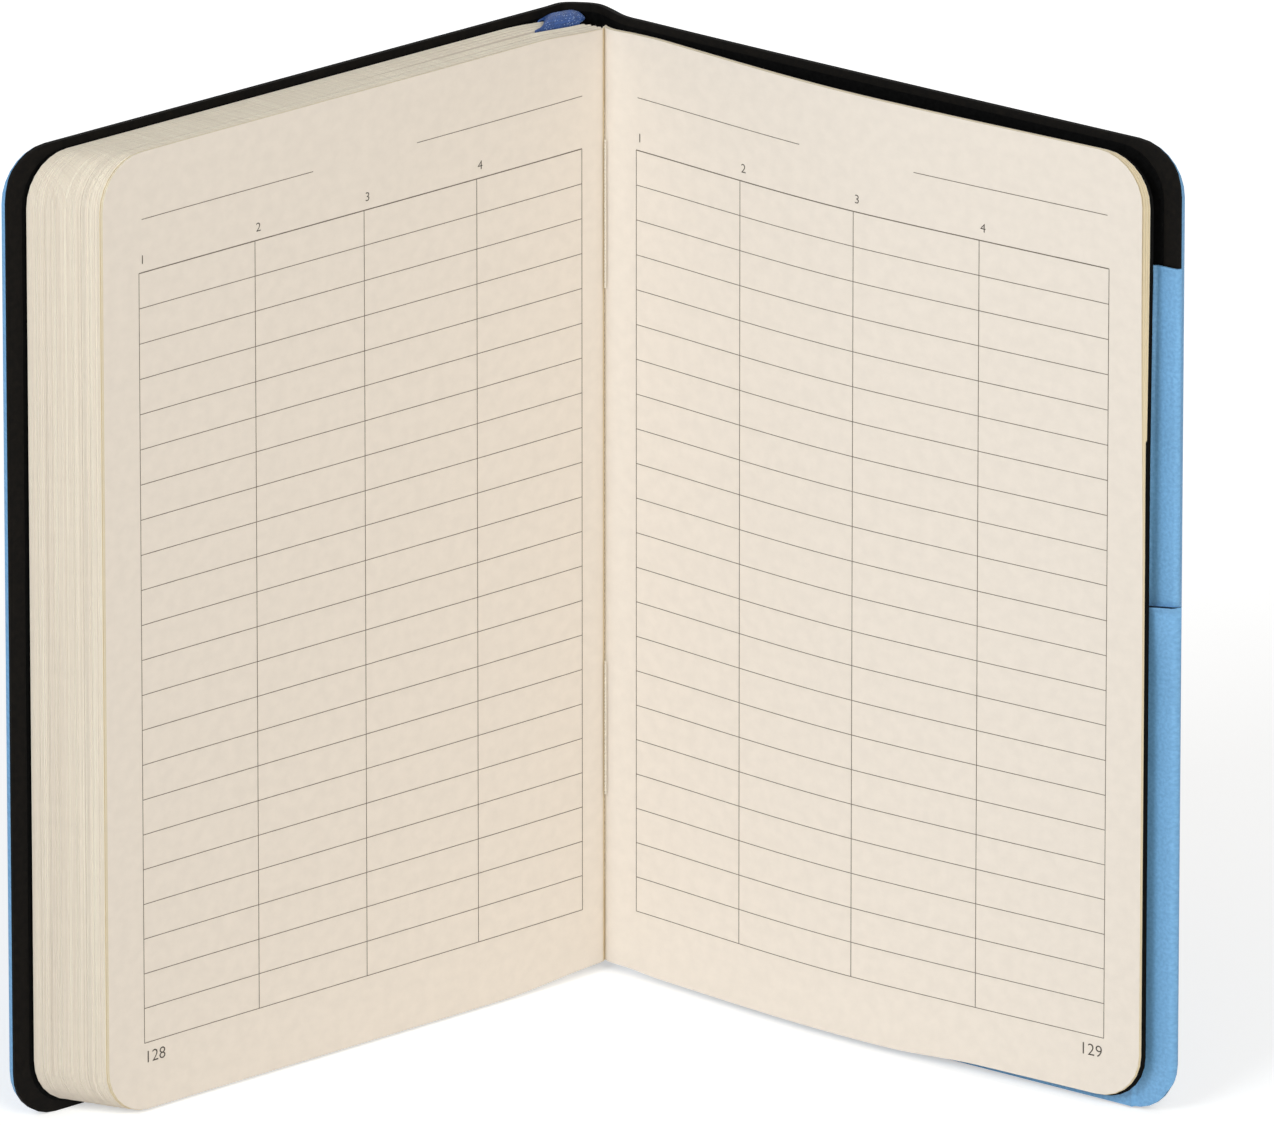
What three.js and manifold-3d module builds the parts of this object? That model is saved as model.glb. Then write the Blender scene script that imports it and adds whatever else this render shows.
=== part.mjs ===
// Soft-cover notebook with ruled pages, standing open on its lower edges.
// Millimetres, +Z up. The V of the open pages faces -Y. The fold between the two visible pages
// is vertical, and every piece is drawn in plan (seen from above) and cut by an outline seen
// square to its own face.

import * as THREE from 'three';
import Module from 'manifold-3d';
import { mergeVertices } from 'three/addons/utils/BufferGeometryUtils.js';

const wasm = await Module();
wasm.setup();

// Format
const coverHeight = 180;
const pageHeight = 176;
const leafWidth = 115;
const cornerRadius = 9;

// How far it stands open: angle of each side from the line of the spine, in degrees
const leftAngle = 39.2;
const rightAngle = 34.5;

// Covers, from the outside inwards
const skinThickness = 0.5;
const boardThickness = 0.9;
const pastedownThickness = 0.25;
const glueLine = 0.15;
const frontOverhang = 4.8;
const backCoverReach = 120;
const pastedownInset = 3;

// Pockets inside the back cover
const pocketThickness = 0.3;
const pocketRim = 0.6;
const pocketSpineMargin = 10;
const tallPocketTop = 158;
const cardPocketTop = 93.6;

// Text block
const sectionCount = 8;
const sectionThickness = 0.87;
const leafGap = 0.2;
const halfSectionThickness = 0.45;
const foreEdgeSlant = 8.8;
const foldRoll = 2.1;
const spineSkew = 6.2;
const mullThickness = 0.25;
const mullMargin = 15;

// Shape of the visible left page: it dips into the gutter and curls at its fore edge
const gutterDip = 0.8;
const gutterDipRun = 20;
const foreEdgeCurl = 0.5;
const foreEdgeCurlRun = 15;

// Right leaves: they bow towards the reader from the gutter and then run straight
const rightLeafThickness = 0.25;
const rearLeavesThickness = 0.45;
const rearLeavesStep = 0.6;
const leafBow = 3.7;
const leafBowRun = 30;
const leafRootHeight = 0.9;
const leafRootStart = 0.3;
const leafBend = 9;

// Spine and hinge creases
const frontCrease = 9;
const backCrease = 6;
const creaseGap = 0.3;
const closingHalfAngle = 54;
const backCoverOffset = 4.9;
const backCoverDrop = 1.5;
const backCoverDropRun = 45;
const spineCorner = 1.6;
const spineHollow = 3.7;
const spineRound = 5.4;
const spineEnd = 2.5;

// Ribbon bookmark
const ribbonWidth = 10;
const ribbonThickness = 0.25;
const ribbonRoom = 0.6;
const ribbonSection = 5;
const ribbonFromFold = 0.8;
const ribbonRise = 2;
const ribbonTail = 168;
const ribbonGluedLength = 18;
const archClearance = 0.3;

// Sewing: a stitch towards each end of the fold, with its margin from that end of the pages
const threadRadius = 0.2;
const threadFromFold = 0.4;
const footStitchMargin = 32;
const footStitchLength = 25;
const headStitchMargin = 21;
const headStitchLength = 27.5;

const radians = THREE.MathUtils.degToRad;
const curveSteps = 16;
const foot = (coverHeight - pageHeight) / 2;
const head = foot + pageHeight;

// Finishes

const finish = (color, roughness) => new THREE.MeshStandardMaterial({ color, roughness, metalness: 0 });
const blueLeatherette = finish(0x76aedb, 0.55);
const blackBoard = finish(0x17140f, 0.8);
const blackEndpaper = finish(0x121110, 0.7);
const bluePocket = finish(0x7bb1da, 0.55);
const creamPaper = finish(0xe8dccb, 0.9);
const gauze = finish(0xe9e4d6, 0.95);
const linenThread = finish(0xf1ece0, 0.8);
const blueRibbon = finish(0x4d6da8, 0.6);

// Solids: a plan drawn from above, cut by a face outline drawn from the side

function solidOf(geometry) {
  const positions = geometry.clone();
  positions.deleteAttribute('normal');
  positions.deleteAttribute('uv');
  const merged = mergeVertices(positions, 1e-5);
  return new wasm.Manifold(new wasm.Mesh({
    numProp: 3,
    vertProperties: new Float32Array(merged.attributes.position.array),
    triVerts: new Uint32Array(merged.index.array),
  }));
}

function geometryOf(solid) {
  const mesh = solid.getMesh();
  const geometry = new THREE.BufferGeometry();
  geometry.setAttribute('position', new THREE.BufferAttribute(mesh.vertProperties, 3));
  geometry.setIndex(new THREE.BufferAttribute(mesh.triVerts, 1));
  geometry.computeVertexNormals();
  return geometry;
}

function extrude(shape, depth) {
  return new THREE.ExtrudeGeometry(shape, { depth, bevelEnabled: false, curveSegments: 5 });
}

// A sheet or stack that stands upright: plan is its outline from above, face its outline from
// the side in x and z, and slant is how far x grows for each millimetre away from the reader.
function upright(plan, face, bottom, top, slant = 0) {
  const reach = 60;
  const standing = solidOf(extrude(plan, top - bottom).translate(0, 0, bottom));
  const across = extrude(face, 2 * reach).rotateX(Math.PI / 2).translate(0, reach, 0);
  const shear = new THREE.Matrix4();
  shear.elements[4] = -slant;
  return geometryOf(standing.intersect(solidOf(across.applyMatrix4(shear))));
}

// Face outline with its two outer corners rounded, or only the lower one
function faceOutline(end, bottom, top, radius, topRadius = radius) {
  const outline = new THREE.Shape();
  const start = -60;
  outline.moveTo(start, bottom);
  outline.lineTo(end - radius, bottom);
  outline.absarc(end - radius, bottom + radius, radius, -Math.PI / 2, 0, false);
  if (topRadius > 0) {
    outline.lineTo(end, top - topRadius);
    outline.absarc(end - topRadius, top - topRadius, topRadius, 0, Math.PI / 2, false);
  } else {
    outline.lineTo(end, top);
  }
  outline.lineTo(start, top);
  outline.closePath();
  return outline;
}

function along(from, to, curve) {
  const points = [];
  for (let i = 0; i <= curveSteps; i += 1) {
    const x = THREE.MathUtils.lerp(from, to, i / curveSteps);
    points.push(new THREE.Vector2(x, curve(x)));
  }
  return points;
}

// Plan of a sheet between two curves, each with its own start and end
function between(lower, upper) {
  return new THREE.Shape([...lower, ...upper.slice().reverse()]);
}

const assembly = new THREE.Group();
const leftSide = new THREE.Group();
leftSide.rotation.z = Math.PI + radians(leftAngle);
const rightSide = new THREE.Group();
rightSide.rotation.z = -radians(rightAngle);
assembly.add(leftSide, rightSide);

function add(group, name, geometry, material) {
  const mesh = new THREE.Mesh(geometry, material);
  mesh.name = name;
  group.add(mesh);
}

const toPlan = (group, x, y) => new THREE.Vector3(x, y, 0).applyEuler(group.rotation).add(group.position);

// Left side. x runs from the fold to the fore edge and y towards the reader.

const sectionPitch = sectionThickness + leafGap;
const blockThickness = halfSectionThickness + sectionCount * sectionPitch + ribbonRoom;
const slantPerMillimetre = foreEdgeSlant / blockThickness;
const pagePlane = gutterDip;
const foldPlace = (depth) => spineSkew * (depth / blockThickness) ** 2;
const foreEdge = (depth) => leafWidth - foldRoll + slantPerMillimetre * depth;

// Surface of the leaves at a depth below the visible left page: flat at the back of the block
function leafSurface(depth) {
  const share = 1 - depth / blockThickness;
  return (x) => pagePlane - depth
    - share * gutterDip * Math.exp(-(x - foldPlace(depth)) / gutterDipRun)
    + share * foreEdgeCurl * Math.exp(-(foreEdge(depth) - x) / foreEdgeCurlRun);
}

function foldedSection(depth, thickness) {
  const middle = depth + thickness / 2;
  const round = thickness / 2;
  const back = depth + thickness;
  const plan = new THREE.Shape();
  const backLine = along(foldPlace(middle) + round, foreEdge(back), leafSurface(back));
  const frontLine = along(foldPlace(middle) + round, foreEdge(depth), leafSurface(depth)).reverse();
  plan.setFromPoints([...backLine, ...frontLine]);
  const fold = foldPlace(middle);
  const nose = leafSurface(middle)(fold);
  plan.bezierCurveTo(fold, nose + round * 0.9, fold, nose - round * 0.9, backLine[0].x, backLine[0].y);
  const face = faceOutline(leafWidth - foldRoll + slantPerMillimetre * pagePlane, foot, head, cornerRadius);
  return upright(plan, face, foot, head, slantPerMillimetre);
}

function sectionDepth(number) {
  const behindRibbon = number < ribbonSection ? ribbonRoom : 0;
  return halfSectionThickness + leafGap + (sectionCount - number) * sectionPitch + behindRibbon;
}

for (let number = 1; number <= sectionCount; number += 1) {
  add(leftSide, `section_${number}`, foldedSection(sectionDepth(number), sectionThickness), creamPaper);
}
add(leftSide, 'last_section_left', foldedSection(0, halfSectionThickness), creamPaper);

// Gauze glued over the folds of the full sections, just clear of each rounded fold
function mullPlan() {
  const inner = [];
  const outer = [];
  const first = sectionDepth(sectionCount);
  for (let i = 0; i <= curveSteps; i += 1) {
    const depth = THREE.MathUtils.lerp(first, blockThickness, i / curveSteps);
    const x = foldPlace(depth - sectionThickness / 2) - leafGap;
    const y = leafSurface(depth)(x);
    inner.push(new THREE.Vector2(x, y));
    outer.push(new THREE.Vector2(x - mullThickness, y));
  }
  return between(inner, outer);
}
add(leftSide, 'spine_mull', extrude(mullPlan(), pageHeight - 2 * mullMargin)
  .translate(0, 0, foot + mullMargin), gauze);

// Slot for the ribbon bookmark, between two sections near their folds
const slotDepth = sectionDepth(ribbonSection) + sectionThickness + (leafGap + ribbonRoom) / 2;
const ribbonStart = foldPlace(slotDepth) + ribbonFromFold;
const ribbonEnd = ribbonStart + ribbonWidth;

// Front cover, flat behind the block. Its pastedown starts past the glued end of the ribbon.
const pastedownFace = pagePlane - blockThickness - leafGap;
const frontBoardFace = pastedownFace - pastedownThickness - glueLine;
const frontSkinFace = frontBoardFace - boardThickness - glueLine;
const frontOuterFace = frontSkinFace - skinThickness;
const frontCoverEnd = foreEdge(blockThickness) + frontOverhang;

function frontSheet(start, end, face, thickness, bottom, top, radius) {
  const plan = between(along(start, end, () => face - thickness), along(start, end, () => face));
  return upright(plan, faceOutline(end, bottom, top, radius), bottom, top);
}

const frontStart = frontCrease + creaseGap;
add(leftSide, 'front_skin', frontSheet(frontStart, frontCoverEnd, frontSkinFace, skinThickness,
  0, coverHeight, cornerRadius), blueLeatherette);
add(leftSide, 'front_board', frontSheet(frontStart, frontCoverEnd, frontBoardFace, boardThickness,
  0, coverHeight, cornerRadius), blackBoard);
add(leftSide, 'front_pastedown', frontSheet(ribbonEnd + leafGap, frontCoverEnd - pastedownInset,
  pastedownFace, pastedownThickness, pastedownInset, coverHeight - pastedownInset,
  cornerRadius - pastedownInset), blackEndpaper);

// Right side. x runs from the fold to the fore edge and y away from the reader.

rightSide.position.copy(toPlan(leftSide, 0, leafRootHeight));
const rightLeafFront = (x) => -leafBow * (1 - Math.exp(-x / leafBowRun));

function rightSheet(start, end, surface, inner, outer, face, bottom, top) {
  const plan = between(
    along(start(inner), end, (x) => surface(x) + inner),
    along(start(outer), end, (x) => surface(x) + outer),
  );
  return upright(plan, face, bottom, top);
}

const rearLeavesFront = rightLeafThickness + leafGap;
const rearLeavesBack = rearLeavesFront + rearLeavesThickness;

function rightLeaves(start, end, inner, outer) {
  return rightSheet(() => start, end, rightLeafFront, inner, outer,
    faceOutline(leafWidth + (inner > 0 ? rearLeavesStep : 0), foot, head, cornerRadius), foot, head);
}

add(rightSide, 'right_leaf', rightLeaves(leafBend, leafWidth, 0, rightLeafThickness), creamPaper);
add(rightSide, 'rear_leaves', rightLeaves(leafBend, leafWidth + rearLeavesStep, rearLeavesFront,
  rearLeavesBack), creamPaper);

// The first millimetres of both, which bend at the gutter when the back cover turns
const rootEnd = leafBend - leafGap;
add(rightSide, 'right_leaf_root', rightLeaves(leafRootStart, rootEnd, 0, rightLeafThickness), creamPaper);
add(rightSide, 'rear_leaves_root', rightLeaves(leafRootStart, rootEnd, rearLeavesFront,
  rearLeavesBack), creamPaper);

// Back cover: it drops away from the leaves a little towards the spine, as they do
const backOuterFace = (x) => backCoverOffset - leafBow
  + backCoverDrop * Math.exp(-(x - backCrease) / backCoverDropRun);
const bevel = Math.tan(radians(closingHalfAngle));
const backStart = (inset) => backCrease + creaseGap - inset * bevel;

function backSheet(end, inset, thickness, face, bottom, top, start = backStart) {
  return rightSheet(start, end, backOuterFace, -inset - thickness, -inset, face, bottom, top);
}

const backBoardInset = skinThickness + glueLine;
const backPastedownInset = backBoardInset + boardThickness + glueLine;
const tallPocketInset = backPastedownInset + pastedownThickness + glueLine;
const cardPocketInset = tallPocketInset + pocketThickness + glueLine;
const backFace = faceOutline(backCoverReach, 0, coverHeight, cornerRadius);
const pastedownEnd = backCoverReach - pastedownInset;
const pocketEnd = backCoverReach - pocketRim;
const pocketStart = () => backCrease + pocketSpineMargin;
const pocketFace = (top) => faceOutline(pocketEnd, pocketRim, top, cornerRadius - pocketRim, 0);

add(rightSide, 'back_skin', backSheet(backCoverReach, 0, skinThickness, backFace,
  0, coverHeight), blueLeatherette);
add(rightSide, 'back_board', backSheet(backCoverReach, backBoardInset, boardThickness, backFace,
  0, coverHeight), blackBoard);
add(rightSide, 'back_pastedown', backSheet(pastedownEnd, backPastedownInset, pastedownThickness,
  faceOutline(pastedownEnd, pastedownInset, coverHeight - pastedownInset, cornerRadius - pastedownInset),
  pastedownInset, coverHeight - pastedownInset), blackEndpaper);
add(rightSide, 'tall_pocket', backSheet(pocketEnd, tallPocketInset, pocketThickness,
  pocketFace(tallPocketTop), pocketRim, tallPocketTop, pocketStart), bluePocket);
add(rightSide, 'card_pocket', backSheet(pocketEnd, cardPocketInset, pocketThickness,
  pocketFace(cardPocketTop), pocketRim, cardPocketTop, pocketStart), bluePocket);

// Spine: the cover's skin and board carried on from one crease round the spine to the other

const frontCreasePoint = toPlan(leftSide, frontCrease, frontOuterFace);
const backCreasePoint = toPlan(rightSide, backCrease, backOuterFace(backCrease));
const spineLine = new THREE.CatmullRomCurve3([
  frontCreasePoint,
  toPlan(leftSide, (frontCrease + spineCorner) / 2, frontOuterFace),
  toPlan(leftSide, spineCorner, frontOuterFace),
  toPlan(leftSide, spineCorner - spineRound / 2, frontOuterFace + spineRound / 3),
  toPlan(leftSide, -spineHollow, frontOuterFace + spineRound),
  toPlan(rightSide, spineEnd, backOuterFace(spineEnd)),
  backCreasePoint,
], false, 'centripetal');
const spineLength = spineLine.getLength();

// Line at a distance inside the spine's outer face, between two places along it
function spineOffset(inset, from, to) {
  const points = [];
  const steps = 2 * curveSteps;
  for (let i = 0; i <= steps; i += 1) {
    const u = THREE.MathUtils.lerp(from, to, i / steps) / spineLength;
    const place = spineLine.getPointAt(u);
    const direction = spineLine.getTangentAt(u);
    points.push(new THREE.Vector2(place.x + direction.y * inset, place.y - direction.x * inset));
  }
  return points;
}

function spineWrap(inset, thickness) {
  const backEnd = (depth) => spineLength - creaseGap - depth * bevel;
  const outer = spineOffset(inset, creaseGap, backEnd(inset));
  const inner = spineOffset(inset + thickness, creaseGap, backEnd(inset + thickness));
  return extrude(between(inner, outer), coverHeight);
}

add(assembly, 'spine_skin', spineWrap(0, skinThickness), blueLeatherette);
add(assembly, 'spine_backing', spineWrap(backBoardInset, boardThickness), blackBoard);

// Ribbon bookmark: glued behind the first section at its head, it arches over the sections'
// heads and goes down between two of them.

const ribbonFront = leafSurface(slotDepth)(ribbonStart + ribbonWidth / 2) + ribbonThickness / 2;
const ribbonBack = pastedownFace - pastedownThickness;
const archFoot = head + archClearance;

function ribbonProfile() {
  const middle = (ribbonFront + ribbonBack) / 2;
  const reach = (ribbonFront - ribbonBack) / 2;
  const inner = reach - ribbonThickness;
  const profile = new THREE.Shape();
  profile.moveTo(middle + reach, head - ribbonTail);
  profile.lineTo(middle + reach, archFoot);
  profile.absellipse(middle, archFoot, reach, ribbonRise, 0, Math.PI, false);
  profile.lineTo(middle - reach, head - ribbonGluedLength);
  profile.lineTo(middle - inner, head - ribbonGluedLength);
  profile.lineTo(middle - inner, archFoot);
  profile.absellipse(middle, archFoot, inner, ribbonRise - ribbonThickness, Math.PI, 0, true);
  profile.lineTo(middle + inner, head - ribbonTail);
  profile.closePath();
  return profile;
}

// The profile lies in y and z, and is swept along x by the ribbon's width
const standUp = new THREE.Matrix4().makeBasis(
  new THREE.Vector3(0, 1, 0),
  new THREE.Vector3(0, 0, 1),
  new THREE.Vector3(1, 0, 0),
);
add(leftSide, 'ribbon_bookmark', extrude(ribbonProfile(), ribbonWidth)
  .applyMatrix4(standUp).translate(ribbonStart, 0, 0), blueRibbon);

// Sewing thread: a stitch between each pair of holes, lying in the last section's fold
function addStitch(name, bottom, length) {
  const stitch = new THREE.CylinderGeometry(threadRadius, threadRadius, length, 8);
  add(leftSide, name, stitch.rotateX(Math.PI / 2)
    .translate(threadFromFold, threadFromFold, bottom + length / 2), linenThread);
}
addStitch('stitch_1', foot + footStitchMargin, footStitchLength);
addStitch('stitch_2', head - headStitchMargin - headStitchLength, headStitchLength);

// The origin is under the middle of the open book, on the surface that it stands on
const extent = new THREE.Box3().setFromObject(assembly);
const middle = extent.getCenter(new THREE.Vector3());
assembly.position.set(-middle.x, -middle.y, 0);
assembly.updateMatrixWorld(true);

export default assembly;
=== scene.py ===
"""Lined notebook: a sewn book of ruled pages in a soft cover, standing open on its edges."""

import math
import random
from bisect import bisect_right
from itertools import accumulate
from types import SimpleNamespace
from typing import NamedTuple

import bmesh
import bpy
from bpy.types import Operator, Panel, PropertyGroup
from mathutils import Matrix, Vector
from mathutils.geometry import interpolate_bezier, intersect_line_line


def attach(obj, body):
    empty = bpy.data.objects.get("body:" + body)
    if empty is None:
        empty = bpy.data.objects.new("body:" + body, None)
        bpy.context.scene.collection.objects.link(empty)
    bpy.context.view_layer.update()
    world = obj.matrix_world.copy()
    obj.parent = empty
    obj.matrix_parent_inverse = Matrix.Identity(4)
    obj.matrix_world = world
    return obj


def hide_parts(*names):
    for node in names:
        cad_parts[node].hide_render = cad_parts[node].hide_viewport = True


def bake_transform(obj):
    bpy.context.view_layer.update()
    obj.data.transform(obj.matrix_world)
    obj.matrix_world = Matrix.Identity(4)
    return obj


bl_info = {
    "name": "Lined Notebook",
    "version": (1, 0, 0),
    "blender": (4, 5, 0),
    "location": "3D View > Sidebar > Notebook",
    "description": "Soft-cover sewn notebook, standing open, with ribbon and pockets",
    "category": "Add Mesh",
}

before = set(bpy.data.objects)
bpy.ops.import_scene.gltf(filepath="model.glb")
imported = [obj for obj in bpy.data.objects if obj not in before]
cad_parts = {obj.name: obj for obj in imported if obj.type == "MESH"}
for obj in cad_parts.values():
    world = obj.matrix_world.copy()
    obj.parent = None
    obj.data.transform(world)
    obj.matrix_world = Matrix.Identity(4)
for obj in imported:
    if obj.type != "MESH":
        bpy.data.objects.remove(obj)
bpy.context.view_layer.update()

MM = 0.001


# Plan of the open book, seen from above in millimetres, as the frame has it

LEFT_ANGLE = math.radians(39.2)
RIGHT_ANGLE = math.radians(34.5)
GUTTER = Vector((1.985, 32.409))
RIGHT_START = 0.9
FOOT = 2.0
HEAD = 178.0
BLOCK = 9.61
PAGE_PLANE = 0.8
FORE_EDGE = 112.9
FORE_SLANT = 8.8
SPINE_SKEW = 6.2
LAST_HALF = 0.45
SECTION = 0.87
SECTION_PITCH = 1.07
SECTION_START = LAST_HALF + 0.2
RIBBON_ROOM = 0.6
RIBBON_SECTION = 5
RIGHT_LEAF = 115.0
CREASE_DEPTH = 1.1
FRONT_OUTER = -10.96
FRONT_END = 125.5
BACK_END = 120.0
FRONT_CREASE = 9.0
BACK_CREASE = 6.0

# Bends of the leaves and covers: how large each is, where it starts and how far it runs

FAN_START, FAN_RUN = 14, 50
GUTTER_DIP, DIP_RUN = 0.8, 20
EDGE_CURL, CURL_RUN = 0.5, 15
LEAF_BOW, BOW_START, BOW_RUN, BOW_POWER = 4.7, 4, 56, 1.15
LEAF_RETURN, RETURN_START, RETURN_RUN = 1.1, 60, 60
HEAD_TRIM, FOOT_TRIM = 0.4, 0.1
LEFT_RISE, RISE_RUN = 1.0, 16
LEFT_SAG, SAG_RUN = 1.35, 24
RIGHT_SAG, FOLD_RUN = 0.5, 12
CORNER_LIFT, LIFT_START, LIFT_RUN = 0.9, 62, 20
BACK_OUTER, BACK_FLARE, FLARE_RUN = 1.2, 1.5, 45
ARCH_START, ARCH_RUN, ARCH_TOP = 16, 44, 170


class Side(NamedTuple):
    """One side of the open book. x runs from the fold to the fore edge, y is square to it."""

    origin: Vector
    along: Vector
    across: Vector

    def plan(self, x, y):
        return self.origin + self.along * x + self.across * y


LEFT = Side(GUTTER, Vector((-math.cos(LEFT_ANGLE), -math.sin(LEFT_ANGLE))),
            Vector((math.sin(LEFT_ANGLE), -math.cos(LEFT_ANGLE))))
RIGHT = Side(LEFT.plan(0, RIGHT_START), Vector((math.cos(RIGHT_ANGLE), -math.sin(RIGHT_ANGLE))),
             Vector((math.sin(RIGHT_ANGLE), math.cos(RIGHT_ANGLE))))


def spread(start, end, count):
    return [start + (end - start) * i / count for i in range(count + 1)]


def unit(value):
    return min(1.0, max(0.0, value))


def ease(value):
    value = unit(value)
    return value * value * (3 - 2 * value)


def fold_place(depth):
    return SPINE_SKEW * (depth / BLOCK) ** 2


def fore_edge(depth):
    return FORE_EDGE + FORE_SLANT * depth / BLOCK


def left_surface(x, spine_depth, fore_depth):
    """Height of a leaf of the left side. The front ones dip into the gutter and curl at the fore
    edge."""
    depth = spine_depth + (fore_depth - spine_depth) * ease((x - FAN_START) / FAN_RUN)
    share = 1 - depth / BLOCK
    dip = GUTTER_DIP * math.exp(-(x - fold_place(depth)) / DIP_RUN)
    curl = EDGE_CURL * math.exp(-(fore_edge(depth) - x) / CURL_RUN)
    return PAGE_PLANE - depth - share * (dip - curl)


def right_surface(x):
    """The right leaf leaves the fold straight, bows towards the reader and comes back a little."""
    bow = LEAF_BOW * math.sin(math.pi / 2 * unit((x - BOW_START) / BOW_RUN) ** BOW_POWER)
    return -bow + LEAF_RETURN * ease((x - RETURN_START) / RETURN_RUN)


def trimmed(z, head, foot):
    """Height on a leaf whose head and foot lie a little off the trimmed lines."""
    share = (z - FOOT) / (HEAD - FOOT)
    return foot + (head - foot) * share


def left_height(point, z):
    """The block's front leaves sag from the fold on, so that they nearly touch the table."""
    place = point - LEFT.origin
    x, depth = place.dot(LEFT.along), PAGE_PLANE - place.dot(LEFT.across)
    sag = LEFT_SAG * ease(x / SAG_RUN) * (1 - unit(depth / BLOCK))
    return trimmed(z, HEAD - HEAD_TRIM + LEFT_RISE * ease(x / RISE_RUN), FOOT - FOOT_TRIM - sag)


def right_height(point, z):
    """The right leaf sags beside the fold and lifts off towards its free corner."""
    x = (point - RIGHT.origin).dot(RIGHT.along)
    near_fold = ease(x / FOLD_RUN)
    lift = CORNER_LIFT * ease((x - LIFT_START) / LIFT_RUN)
    return trimmed(z, HEAD - HEAD_TRIM + HEAD_TRIM * near_fold,
                   FOOT - FOOT_TRIM - RIGHT_SAG * near_fold + lift)


def back_outer(x):
    return BACK_OUTER + BACK_FLARE * math.exp(-(x - BACK_CREASE) / FLARE_RUN)


class Run:
    """A line seen from above that sheets follow. Offset is measured to its right."""

    def __init__(self, points):
        self.points = points
        steps = [b - a for a, b in zip(points, points[1:])]
        self.marks = list(accumulate((s.length for s in steps), initial=0.0))
        turned = [Vector((s.y, -s.x)).normalized() for s in steps]
        joined = zip([turned[0], *turned], [*turned, turned[-1]])
        self.normals = [(a + b).normalized() for a, b in joined]
        self.length = self.marks[-1]

    def place(self, distance, offset, _height=0.0):
        i = min(max(bisect_right(self.marks, distance) - 1, 0), len(self.points) - 2)
        t = (distance - self.marks[i]) / (self.marks[i + 1] - self.marks[i])
        point = self.points[i].lerp(self.points[i + 1], t)
        return point + self.normals[i].lerp(self.normals[i + 1], t).normalized() * offset

    def nearest(self, point):
        """Distance along the line of the corner closest to a point."""
        return min(zip(self.marks, self.points), key=lambda m: (m[1] - point).length)[0]


def spine_points():
    """Outer face of the spine from one hinge crease round to the other, in smooth arcs."""
    corner, hollow, swell, end = 1.6, 3.7, 5.4, 2.5
    knots = [
        LEFT.plan(FRONT_CREASE, FRONT_OUTER),
        LEFT.plan((FRONT_CREASE + corner) / 2, FRONT_OUTER),
        LEFT.plan(corner, FRONT_OUTER),
        LEFT.plan(corner - swell / 2, FRONT_OUTER + swell / 3),
        LEFT.plan(-hollow, FRONT_OUTER + swell),
        RIGHT.plan(end, back_outer(end)),
        RIGHT.plan(BACK_CREASE, back_outer(BACK_CREASE)),
    ]
    knots = [2 * knots[0] - knots[1], *knots, 2 * knots[-1] - knots[-2]]
    points = []
    for before, start, finish, after in zip(knots, knots[1:], knots[2:], knots[3:]):
        a, b, c = (math.sqrt((q - p).length) for p, q in
                   ((before, start), (start, finish), (finish, after)))
        leave = ((start - before) / a - (finish - before) / (a + b) + (finish - start) / b) * b
        arrive = ((finish - start) / b - (after - start) / (b + c) + (after - finish) / c) * b
        arc = interpolate_bezier(start, start + leave / 3, finish - arrive / 3, finish, 9)
        points += [Vector(p[:2]) for p in arc[:-1]]
    return points + [knots[-2]]


COVER = Run(
    [LEFT.plan(x, FRONT_OUTER) for x in spread(FRONT_END, FRONT_CREASE, 60)][:-1]
    + spine_points()
    + [RIGHT.plan(x, back_outer(x)) for x in spread(BACK_CREASE, BACK_END, 70)][1:]
)
FRONT_MARK = COVER.nearest(LEFT.plan(FRONT_CREASE, FRONT_OUTER))
BACK_MARK = COVER.nearest(RIGHT.plan(BACK_CREASE, back_outer(BACK_CREASE)))
SPINE_MARK = (FRONT_MARK + BACK_MARK) / 2


def arched(x, z, rise):
    """Height on a cover sheet whose foot arches over the table at the spine."""
    away = ease((abs(x - SPINE_MARK) - ARCH_START) / ARCH_RUN)
    return z + rise * (1 - away) * max(0.0, 1 - z / ARCH_TOP)


# Settings that a user would change


def amount(name, description, default, **kind):
    return bpy.props.FloatProperty(
        name=name, description=description, default=default, min=0.0, **kind)


def length(name, description, millimetres):
    return amount(name, description, millimetres * MM, unit="LENGTH", subtype="DISTANCE",
                  precision=5)


def count(name, description, default):
    return bpy.props.IntProperty(name=name, description=description, default=default, min=1)


def linear(code):
    """Linear red, green, blue and alpha of an sRGB colour written as hex."""
    parts = [int(code[i : i + 2], 16) / 255 for i in (0, 2, 4)]
    turned = [p / 12.92 if p <= 0.04045 else ((p + 0.055) / 1.055) ** 2.4 for p in parts]
    return (*turned, 1.0)


def colour(name, description, code):
    return bpy.props.FloatVectorProperty(
        name=name, description=description, default=linear(code), size=4, min=0.0, max=1.0,
        subtype="COLOR")


def settings(context, name):
    """A group's settings by name, with its lengths in millimetres."""
    group = getattr(context.scene, f"notebook_{name}")
    values = {key: getattr(group, key) for key in type(group).__annotations__}
    return SimpleNamespace(**{key: value / MM if isinstance(value, float) else value
                              for key, value in values.items()})


class NotebookCovers(PropertyGroup):
    height: length("Cover height", "Height of both covers and the spine", 180)
    corner: length("Corner radius", "Radius of the covers' outer corners", 9)
    skin: length("Skin", "Thickness of the blue outer sheet", 0.55)
    board: length("Board", "Thickness of the black flexible board", 0.98)
    rounding: length("Edge rounding", "Rounding of the trimmed edges", 0.16)
    crease: length("Hinge zone", "Length that bends at the crease", 7)
    roll: length("Skin roll", "Thickening where it rolls over the edge", 0.4)
    lip: length("Board lip", "Board that shows past the skin at head and foot", 0.35)
    arch: length("Spine arch", "Height of the foot over the table at the spine", 1.2)
    inset: length("Endpaper inset", "Bare board at the fore edge", 3.3)
    margin: length("Endpaper margin", "Bare board at head and foot", 1.4)


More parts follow.
